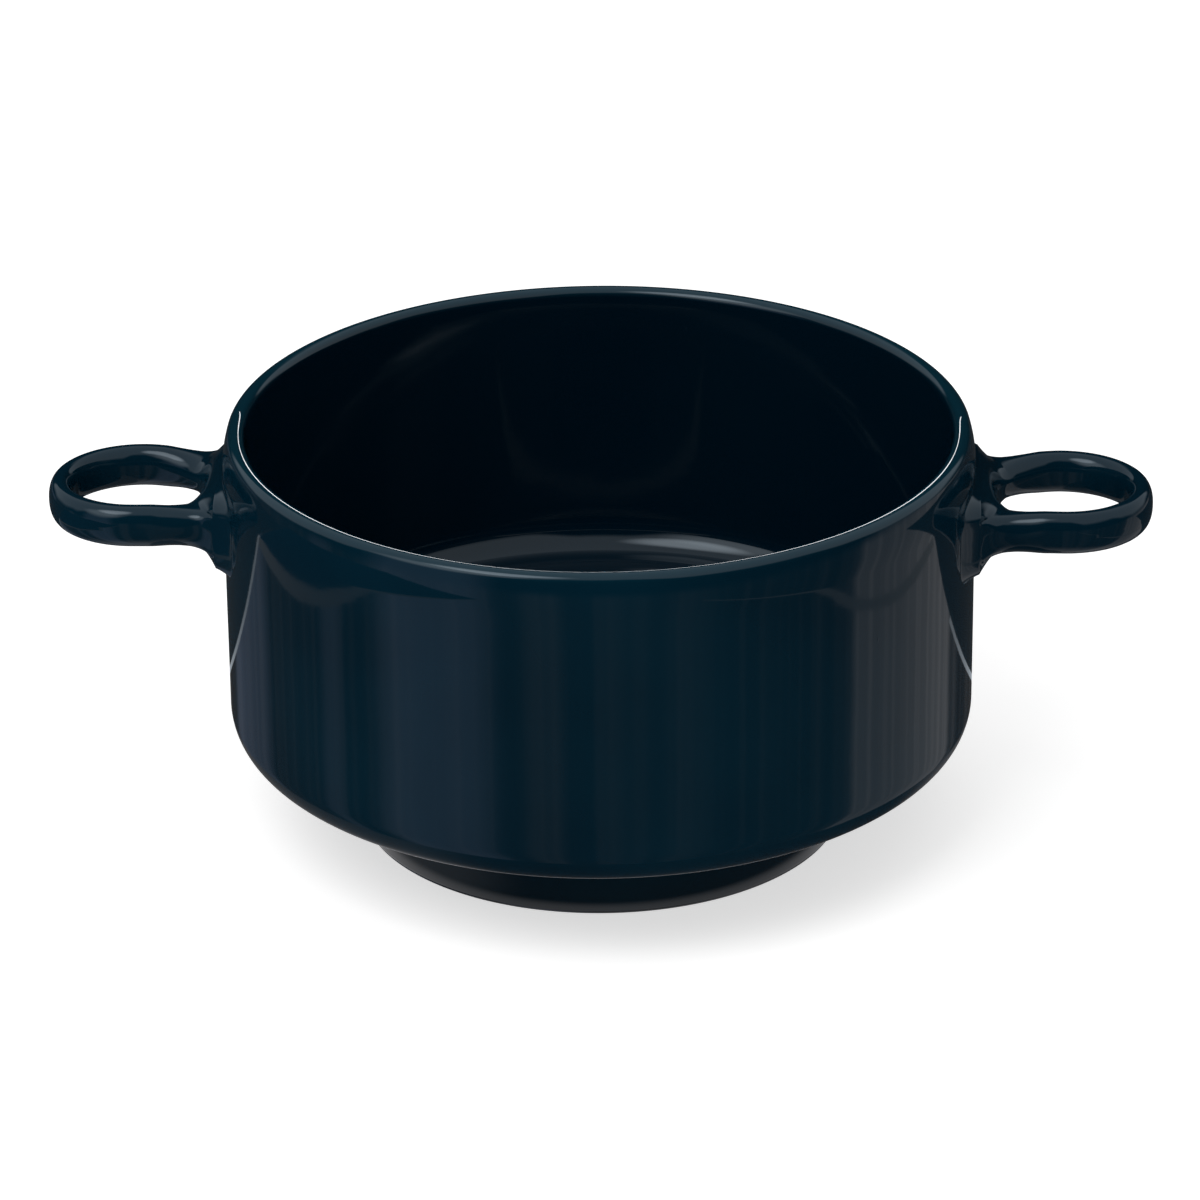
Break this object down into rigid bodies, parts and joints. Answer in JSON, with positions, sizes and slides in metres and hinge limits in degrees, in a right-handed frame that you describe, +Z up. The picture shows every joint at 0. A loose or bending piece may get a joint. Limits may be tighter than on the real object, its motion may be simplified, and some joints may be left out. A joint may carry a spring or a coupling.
{
  "type": "soup crock",
  "caption": "Round glazed stoneware soup crock with a straight wall, a rounded lip, a stepped foot ring and a horizontal ring handle on each side.",
  "frame": {"origin": "centre of the foot ring's bearing face, on the table under the middle of the bowl", "axes": "+Z up through the mouth, +X out through the right handle, -Y towards the viewer of the picture"},
  "size_m": [0.1858, 0.1264, 0.0713],
  "materials": {
    "stoneware": "fired unglazed clay, matt and fine-grained",
    "slip": "fired joining slip, matt",
    "blue_glaze": "deep navy gloss glaze, pooled darker in the corners, with fine pinholes"
  },
  "bodies": {
    "root": {"clay_bowl": "stoneware", "foot_ring": "stoneware", "left_handle": "stoneware", "right_handle": "stoneware", "foot_slip": "slip", "left_handle_slip": "slip", "right_handle_slip": "slip", "lining_glaze": "blue_glaze", "outer_glaze": "blue_glaze", "base_glaze": "blue_glaze", "left_handle_glaze": "blue_glaze", "right_handle_glaze": "blue_glaze"}
  },
  "joints": []
}
